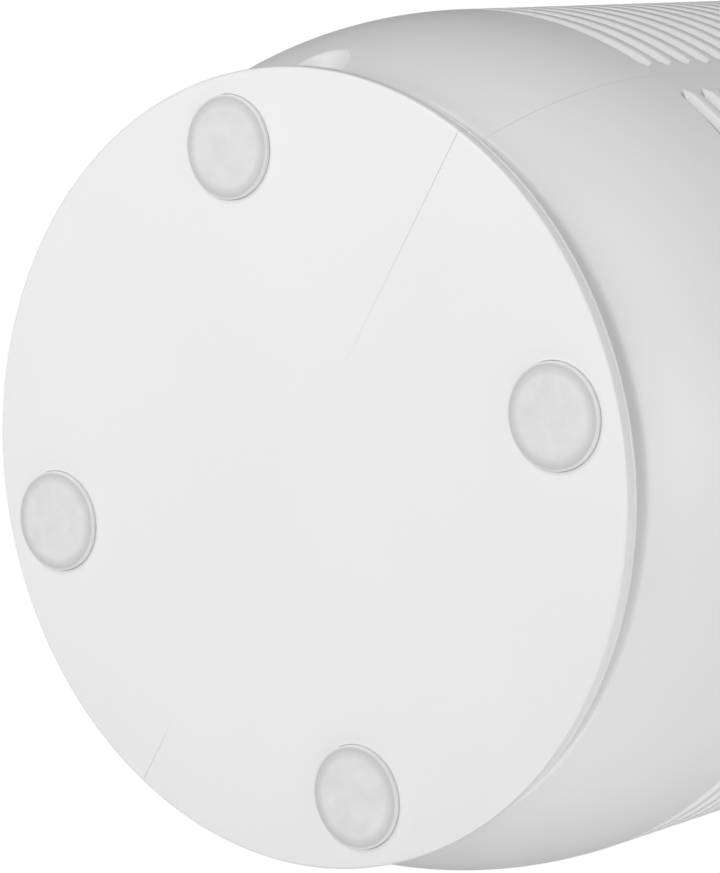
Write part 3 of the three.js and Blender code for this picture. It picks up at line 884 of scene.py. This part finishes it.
def cup_outline():
    bottom, top = heights("top_grille")
    inner = CUP_R - 2.6 * MM
    floor = bottom + 2 * MM
    return [
        (0, bottom),
        *arc((CUP_R - 1.4 * MM, bottom + 1.4 * MM), 1.4 * MM, -90, 0, 4),
        *arc((CUP_R - 0.7 * MM, top - 0.7 * MM), 0.7 * MM, 0, 90, 4),
        (inner + 0.3 * MM, top),
        (inner, top - 0.3 * MM),
        (inner, floor),
        (0, floor),
    ]


class PURIFIER_OT_grille(bpy.types.Operator):
    """Outlet grille: a rim, radial bars and the cup that holds the buttons"""

    bl_idname = "purifier.grille"
    bl_label = "Outlet Grille"

    def execute(self, context):
        top = high("top_grille").z
        outer = high("top_grille").x
        piece = add_mesh("outlet_grille", turned(cup_outline(), steps=128))
        inner, bottom, edge = outer - 2.4 * MM, top - 4 * MM, 0.6 * MM
        rim = [
            (inner, bottom),
            (outer, bottom),
            *arc((outer - edge, top - edge), edge, 0, 90, 3),
            *arc((inner + edge, top - edge), edge, 90, 180, 3),
        ]
        carve(piece, turned(rim, steps=192), "UNION")
        bars = bmesh.new()
        start, end = CUP_R - 1 * MM, outer - 1.4 * MM
        size = Vector((end - start, 1.8 * MM, 3 * MM))
        centre = Vector(((start + end) / 2, 0, top - 1.5 * MM))
        for i in range(GRILLE_BARS):
            rounded_box(bars, size, centre, 0.5 * MM, at_angle=TURN * i / GRILLE_BARS)
        carve(piece, bars, "UNION")
        finish_piece(piece, "housing", "grille_white", "top_grille")
        return {"FINISHED"}


def panel_outline():
    edge = 0.5 * MM
    inner = LIGHT_R + 0.3 * MM
    return [
        (inner, PANEL_BOTTOM),
        (PANEL_R, PANEL_BOTTOM),
        *arc((PANEL_R - edge, PANEL_TOP - edge), edge, 0, 90, 4),
        (inner + 0.2 * MM, PANEL_TOP),
        (inner, PANEL_TOP - 0.2 * MM),
    ]


class PURIFIER_OT_panel(bpy.types.Operator):
    """Control panel and the light ring round the power button"""

    bl_idname = "purifier.panel"
    bl_label = "Control Panel"

    def execute(self, context):
        piece = add_mesh("button_panel", turned(panel_outline(), steps=128))
        holes = bmesh.new()
        centres = [middle(f"{name}_button") for name in KEYS]
        upright_rods(holes, centres, KEY_R + 0.3 * MM, PANEL_BOTTOM - MM, PANEL_TOP + MM, 64)
        carve(piece, holes, "DIFFERENCE")
        finish_piece(piece, "housing", "panel_white", "control_panel")
        inner, edge = POWER_R + 0.35 * MM, 0.3 * MM
        guide = [
            (inner, PANEL_BOTTOM),
            (LIGHT_R, PANEL_BOTTOM),
            *arc((LIGHT_R - edge, PANEL_TOP - edge), edge, 0, 90, 3),
            *arc((inner + edge, PANEL_TOP - edge), edge, 90, 180, 3),
        ]
        turned_piece("light_guide_ring", guide, 96, "housing", "light_guide", "light_ring")
        return {"FINISHED"}


def button_outline(radius, bottom, top):
    step, edge, dish = 1.6 * MM, 0.55 * MM, 0.35 * MM
    return [
        (0, bottom),
        (radius - step, bottom),
        (radius - step, bottom + step),
        (radius, bottom + step),
        *arc((radius - edge, top - edge), edge, 0, 90, 5),
        (radius * 0.8, top - dish * 0.35),
        (radius * 0.55, top - dish * 0.75),
        (radius * 0.3, top - dish * 0.95),
        (0, top - dish),
    ]


class PURIFIER_OT_buttons(bpy.types.Operator):
    """Power button and the three small keys, slightly dished"""

    bl_idname = "purifier.buttons"
    bl_label = "Buttons"

    def execute(self, context):
        for name, body in {"power": "power_key", **KEYS}.items():
            node = f"{name}_button"
            centre = middle(node)
            radius = (high(node) - low(node)).x / 2
            bm = turned(button_outline(radius, low(node).z, high(node).z), steps=72)
            bmesh.ops.translate(bm, verts=bm.verts, vec=(centre.x, centre.y, 0))
            finish_piece(add_mesh(f"{name}_key_cap", bm), body, "button_white", node)
        return {"FINISHED"}


# ---- filter ----

PLEATS = 84
PLEAT_SHARES = (0, 0.5, 1, 0.5)  # depth of the fold at each quarter of a pleat
PLEAT_INNER = 54 * MM
PAPER_THICKNESS = 0.5 * MM
NET_COLUMNS, NET_ROWS = 120, 48
NET_THREAD = 0.55 * MM
EYE_R = 44 * MM  # round opening above the filter and below the fan
CARBON_INNER = 45.6 * MM
SEAL_INNER = 47 * MM


def ring_outline(inner, outer, z0, z1, edge=0.0):
    if edge == 0:
        return [(inner, z0), (outer, z0), (outer, z1), (inner, z1)]
    return [
        *arc((inner + edge, z0 + edge), edge, 180, 270, 2),
        *arc((outer - edge, z0 + edge), edge, -90, 0, 2),
        *arc((outer - edge, z1 - edge), edge, 0, 90, 2),
        *arc((inner + edge, z1 - edge), edge, 90, 180, 2),
    ]


class PURIFIER_OT_filter(bpy.types.Operator):
    """Drum filter: caps, pleated paper, pre-filter net, carbon felt, seal and pull tab"""

    bl_idname = "purifier.filter"
    bl_label = "Drum Filter"

    def execute(self, context):
        self.pleats()
        self.net()
        self.caps()
        return {"FINISHED"}

    def pleats(self):
        z0, z1 = heights("filter_media")
        outer = high("filter_media").x
        count = PLEATS * len(PLEAT_SHARES)
        points = []
        for i in range(count):
            share = PLEAT_SHARES[i % len(PLEAT_SHARES)]
            points.append(polar(outer - (outer - PLEAT_INNER) * share, TURN * i / count, z0))
        bm = bmesh.new()
        raise_sheet(bm, points, z1 - z0, closed=True)
        thicken(bm, PAPER_THICKNESS)
        finish_piece(add_mesh("pleated_paper", bm), "filter", "filter_paper", "filter_media", sharp=60)

    def net(self):
        radius = high("filter_prefilter").x - 0.3 * MM
        bm = bmesh.new()
        levels = spread(*heights("filter_prefilter"), NET_ROWS + 1)
        verts = [bm.verts.new((radius, 0, z)) for z in levels]
        edges = [bm.edges.new(pair) for pair in zip(verts, verts[1:])]
        spin(bm, verts + edges, TURN, NET_COLUMNS, full=True)
        tidy(bm)
        bmesh.ops.wireframe(
            bm,
            faces=bm.faces[:],
            thickness=NET_THREAD,
            offset=0.0,
            use_replace=True,
            use_boundary=True,
            use_even_offset=True,
        )
        finish_piece(add_mesh("prefilter_net", bm), "filter", "prefilter_mesh", "filter_prefilter")

    def caps(self):
        outer = high("filter_lower_cap").x
        wall, thick, lip, edge = 1.4 * MM, 3 * MM, 8 * MM, 0.6 * MM
        z0 = low("filter_lower_cap").z
        lower = [
            (0, z0),
            *arc((outer - edge, z0 + edge), edge, -90, 0, 3),
            (outer, z0 + lip),
            (outer - wall, z0 + lip),
            (outer - wall, z0 + thick),
            (0, z0 + thick),
        ]
        z1 = high("filter_upper_cap").z
        upper = [
            (EYE_R, z1 - thick),
            (outer - wall, z1 - thick),
            (outer - wall, z1 - lip),
            (outer, z1 - lip),
            *arc((outer - edge, z1 - edge), edge, 0, 90, 3),
            (EYE_R, z1),
        ]
        felt = ring_outline(CARBON_INNER, high("filter_carbon").x, *heights("filter_carbon"))
        seal = ring_outline(SEAL_INNER, high("filter_seal").x, *heights("filter_seal"), 1.2 * MM)
        for name, outline, steps, slot, node in (
            ("lower_filter_cap", lower, 128, "dark_plastic", "filter_lower_cap"),
            ("upper_filter_cap", upper, 128, "dark_plastic", "filter_upper_cap"),
            ("carbon_layer", felt, 96, "carbon", "filter_carbon"),
            ("foam_seal", seal, 96, "seal_foam", "filter_seal"),
        ):
            turned_piece(name, outline, steps, "filter", slot, node)
        tab = bmesh.new()
        size = high("filter_pull_tab") - low("filter_pull_tab")
        rounded_box(tab, size, middle("filter_pull_tab"), 0.4 * MM)
        finish_piece(add_mesh("pull_tab", tab), "filter", "tab_fabric", "filter_pull_tab")


# ---- fan ----

FAN_BLADES = 9
BLADE_STEPS = 10
BLADE_INNER = 42 * MM
BLADE_SWEEP = math.radians(34)
BLADE_THICKNESS = 1.4 * MM
VANES = 11
VANE_TILT = math.radians(24)
HUB_R = 21.7 * MM
INLET_LIP = (  # millimetres outside the eye and above the ring's foot
    (5.2, 1.8),
    (3, 2.9),
    (2, 4.8),
    (0.4, 4.8),
    (0.5, 2),
)


class PURIFIER_OT_fan(bpy.types.Operator):
    """Impeller, motor can, diffuser, shroud and inlet ring"""

    bl_idname = "purifier.fan"
    bl_label = "Fan"

    def execute(self, context):
        self.impeller()
        self.motor()
        self.diffuser()
        self.rings()
        return {"FINISHED"}

    def impeller(self):
        (z0, z1), outer = heights("impeller"), high("impeller").x
        plate, eye, bore = 1.8 * MM, 49 * MM, 2.3 * MM
        wheel = [
            (bore, z0 + 8 * MM),
            *arc((5 * MM, z0 + 11 * MM), 3 * MM, -90, -10, 4),
            (14 * MM, z1 - 8 * MM),
            (21 * MM, z1 - 4.4 * MM),
            (30 * MM, z1 - plate),
            (outer, z1 - plate),
            (outer, z1),
            (bore, z1),
        ]
        piece = add_mesh("fan_wheel", turned(wheel, 96))
        shroud = ring_outline(eye, outer, z0, z0 + plate, 0.5 * MM)
        carve(piece, turned(shroud, 96), "UNION")
        blades = bmesh.new()
        tip = outer - 0.6 * MM
        for i in range(FAN_BLADES):
            start = TURN * i / FAN_BLADES
            points = []
            for share in spread(0, 1, BLADE_STEPS + 1):
                radius = BLADE_INNER + (tip - BLADE_INNER) * share
                points.append(polar(radius, start - BLADE_SWEEP * share**2, z0 + plate / 2))
            raise_sheet(blades, points, z1 - z0 - plate)
        thicken(blades, BLADE_THICKNESS)
        carve(piece, blades, "UNION")
        finish_piece(piece, "fan", "fan_plastic", "impeller")

    def motor(self):
        (z0, z1), flange = heights("motor"), high("motor").x
        radius, bore = flange - 4 * MM, 2.6 * MM
        can = [
            (bore, z0),
            *arc((radius - 1.2 * MM, z0 + 1.2 * MM), 1.2 * MM, -90, 0, 4),
            (radius, z1 - 4 * MM),
            (flange, z1 - 4 * MM),
            (flange, z1 - 2 * MM),
            (radius, z1 - 2 * MM),
            *arc((radius - 2 * MM, z1 - 2 * MM), 2 * MM, 0, 90, 4),
            (0, z1),
            (0, z0 + 10 * MM),
            (bore, z0 + 10 * MM),
        ]
        turned_piece("motor_can", can, 96, "housing", "motor_metal", "motor")

    def diffuser(self):
        (z0, z1), outer = heights("diffuser"), high("diffuser").x
        rim = ring_outline(outer - 2.2 * MM, outer, z0, z1, 0.6 * MM)
        piece = add_mesh("diffuser_ring", turned(rim, 160))
        hub = ring_outline(HUB_R, HUB_R + 3.9 * MM, z0, z1, 0.6 * MM)
        carve(piece, turned(hub, 96), "UNION")
        vanes = bmesh.new()
        start, end = HUB_R + 1.8 * MM, outer - 1.2 * MM
        size = Vector((end - start, 1.6 * MM, 13.6 * MM))
        for i in range(VANES):
            place = (
                Matrix.Rotation(TURN * i / VANES, 4, "Z")
                @ Matrix.Translation(((start + end) / 2, 0, (z0 + z1) / 2))
                @ Matrix.Rotation(VANE_TILT, 4, "X")
            )
            placed_box(vanes, size, place, 0.5 * MM)
        carve(piece, vanes, "UNION")
        finish_piece(piece, "housing", "grey_plastic", "diffuser")

    def rings(self):
        outer = high("fan_shroud").x
        wall = ring_outline(outer - 2 * MM, outer, *heights("fan_shroud"), 0.5 * MM)
        turned_piece("shroud_tube", wall, 160, "housing", "grey_plastic", "fan_shroud")
        z0, outer = low("inlet_ring").z, high("inlet_ring").x
        lip = [(EYE_R + r * MM, z0 + z * MM) for r, z in INLET_LIP]
        mouth = [(EYE_R + 1 * MM, z0), (outer, z0), (outer, z0 + 1.8 * MM), *lip]
        turned_piece("inlet_mouth", mouth, 128, "housing", "grey_plastic", "inlet_ring")


class PURIFIER_OT_inner_finishes(bpy.types.Operator):
    """Gives every other piece of the frame its own finish"""

    bl_idname = "purifier.inner_finishes"
    bl_label = "Inner Finishes"

    def execute(self, context):
        slots = {part["node"]: part["material_slot"] for part in frame["record"]["subparts"]}
        for node, piece in frame["nodes"].items():
            if not piece.hide_render:
                piece.data.materials.clear()
                piece.data.materials.append(finishes[slots[node]])
        return {"FINISHED"}


# ---- stage ----

LIT_POINT = Vector((0, 0, 60 * MM))
AIM = Vector((-15.9 * MM, -10.3 * MM, BASE_Z))
FLOOR_SIZE = 6
FLOOR_DROP = 0.05 * MM
WHITE = (1, 1, 1, 1)
LAMP_SIZE = 1.0
FLOOR_LAMP_SIZE = 4.0
OVERHEAD_PLACE = Vector((0.1, -0.1, 1.3))  # from the lit point
FLOOR_LAMP_PLACE = Vector((0.4, -0.4, 6))
SOFT_BOX_DISTANCE = 1.3
SOFT_BOXES = {  # direction (right, up, back) seen from the camera, and share of the power
    "front": ((0, 0, 1), 0.32),
    "left": ((-1, 0, 0.1), 0.31),
    "lower": ((0, -1, 0.1), 0.67),
    "upper_left": ((-0.6, 0.6, 0.5), 0.72),
    "left_front": ((-0.75, 0, 0.66), 0.32),
    "right_front": ((0.75, 0, 0.66), 0.58),
    "upper_right": ((0.6, 0.6, 0.5), 0.17),
    "lower_front": ((0, -0.75, 0.66), 0.09),
    "lower_right": ((0.6, -0.6, 0.5), 0.09),
}


def floor_group(state):
    """A group that makes a lamp light only the floor, or everything else."""
    group = bpy.data.collections.new(f"floor_{state.lower()}")
    group.objects.link(bpy.data.objects["floor"])
    group.collection_objects[0].light_linking.link_state = state
    return group


def area_light(name, place, size, watts, floor_state):
    """A round lamp at a place seen from the lit point, turned towards it."""
    data = bpy.data.lights.new(name, "AREA")
    data.shape = "DISK"
    data.size = size
    data.energy = watts
    lamp = bpy.data.objects.new(name, data)
    lamp.location = LIT_POINT + place
    lamp.rotation_mode = "QUATERNION"
    lamp.rotation_quaternion = (LIT_POINT - lamp.location).to_track_quat("-Z", "Y")
    bpy.context.scene.collection.objects.link(lamp)
    lamp.light_linking.receiver_collection = floor_group(floor_state)


class PURIFIER_OT_stage(bpy.types.Operator):
    """Pale floor, soft lights and the camera"""

    bl_idname = "purifier.stage"
    bl_label = "Stage"

    def execute(self, context):
        scene = context.scene
        self.floor()
        self.world(scene)
        self.camera(scene)
        scene.view_settings.view_transform = "Standard"
        self.lights(scene.camera.matrix_basis.to_3x3())
        return {"FINISHED"}

    def lights(self, axes):
        """Soft boxes round the line of sight, a lamp overhead and one for the floor alone."""
        s = studio()
        for name, (direction, share) in SOFT_BOXES.items():
            place = (axes @ Vector(direction)).normalized() * SOFT_BOX_DISTANCE
            area_light(f"{name}_soft_box", place, LAMP_SIZE, share * s.soft_boxes, "EXCLUDE")
        area_light("overhead_light", OVERHEAD_PLACE, LAMP_SIZE, s.overhead, "EXCLUDE")
        area_light("floor_light", FLOOR_LAMP_PLACE, FLOOR_LAMP_SIZE, s.floor_light, "INCLUDE")

    def towards_camera(self):
        s = studio()
        level = math.cos(s.elevation)
        return Vector((-math.sin(s.azimuth) * level, -math.cos(s.azimuth) * level, math.sin(s.elevation)))

    def floor(self):
        bm = bmesh.new()
        place = Matrix.Translation((0, 0, -FLOOR_DROP))
        bmesh.ops.create_grid(bm, x_segments=1, y_segments=1, size=FLOOR_SIZE, matrix=place)
        piece = add_mesh("floor", bm)
        material = bpy.data.materials.new("pale_floor")
        material.use_nodes = True
        tree = material.node_tree
        shader = tree.nodes["Principled BSDF"]
        set_inputs(shader, {"Base Color": (0.86, 0.86, 0.86, 1), "Roughness": 0.8})
        below = new_node(tree, "ShaderNodeNewGeometry").outputs["Backfacing"]
        clear = new_node(tree, "ShaderNodeBsdfTransparent")
        self.mix(tree, below, shader.outputs["BSDF"], clear.outputs["BSDF"], "Material Output")
        piece.data.materials.append(material)
        for ray in ("shadow", "diffuse", "glossy", "transmission"):
            setattr(piece, f"visible_{ray}", False)

    def world(self, scene):
        world = bpy.data.worlds.new("studio")
        scene.world = world
        world.use_nodes = True
        tree = world.node_tree
        even = tree.nodes["Background"]
        set_inputs(even, {"Color": WHITE, "Strength": studio().ambient})
        white = new_node(tree, "ShaderNodeBackground")
        set_inputs(white, {"Color": WHITE, "Strength": 1.0})
        seen = new_node(tree, "ShaderNodeLightPath").outputs["Is Camera Ray"]
        backgrounds = even.outputs["Background"], white.outputs["Background"]
        self.mix(tree, seen, *backgrounds, "World Output")

    def mix(self, tree, share, first, second, end):
        node = new_node(tree, "ShaderNodeMixShader")
        link(tree, share, node.inputs["Fac"])
        link(tree, first, node.inputs[1])
        link(tree, second, node.inputs[2])
        link(tree, node.outputs["Shader"], tree.nodes[end].inputs["Surface"])

    def camera(self, scene):
        s = studio()
        data = bpy.data.cameras.new("camera")
        data.sensor_width = 36
        data.lens = s.lens
        data.clip_start = 0.01
        back = self.towards_camera()
        camera = bpy.data.objects.new("camera", data)
        camera.rotation_mode = "QUATERNION"
        roll = Matrix.Rotation(s.roll, 3, "Z").to_quaternion()
        camera.rotation_quaternion = (-back).to_track_quat("-Z", "Y") @ roll
        camera.location = AIM + back * s.distance
        scene.collection.objects.link(camera)
        scene.camera = camera


class PURIFIER_PT_panel(bpy.types.Panel):
    """Buttons that build each part of the purifier"""

    bl_label = "Purifier"
    bl_idname = "PURIFIER_PT_panel"
    bl_space_type = "VIEW_3D"
    bl_region_type = "UI"
    bl_category = "Purifier"

    def draw(self, context):
        for operator in OPERATORS:
            self.layout.operator(operator.bl_idname)


OPERATORS = (
    PURIFIER_OT_front_shell,
    PURIFIER_OT_rear_cover,
    PURIFIER_OT_feet,
    PURIFIER_OT_bezel,
    PURIFIER_OT_grille,
    PURIFIER_OT_panel,
    PURIFIER_OT_buttons,
    PURIFIER_OT_filter,
    PURIFIER_OT_fan,
    PURIFIER_OT_inner_finishes,
    PURIFIER_OT_stage,
)
GROUPS = {
    "purifier_shell": ShellSettings,
    "purifier_colours": PurifierColours,
    "purifier_studio": StudioSettings,
}


def register():
    for group in GROUPS.values():
        bpy.utils.register_class(group)
    for name, group in GROUPS.items():
        setattr(bpy.types.Scene, name, PointerProperty(type=group))
    for operator in OPERATORS:
        bpy.utils.register_class(operator)
    bpy.utils.register_class(PURIFIER_PT_panel)


def unregister():
    bpy.utils.unregister_class(PURIFIER_PT_panel)
    for operator in reversed(OPERATORS):
        bpy.utils.unregister_class(operator)
    for name, group in GROUPS.items():
        delattr(bpy.types.Scene, name)
        bpy.utils.unregister_class(group)


def main():
    register()
    finishes.update(make_materials())
    bpy.ops.purifier.front_shell()
    bpy.ops.purifier.rear_cover()
    bpy.ops.purifier.feet()
    bpy.ops.purifier.bezel()
    bpy.ops.purifier.grille()
    bpy.ops.purifier.panel()
    bpy.ops.purifier.buttons()
    bpy.ops.purifier.filter()
    bpy.ops.purifier.fan()
    bpy.ops.purifier.inner_finishes()
    bpy.ops.purifier.stage()


if __name__ == "__main__":
    main()
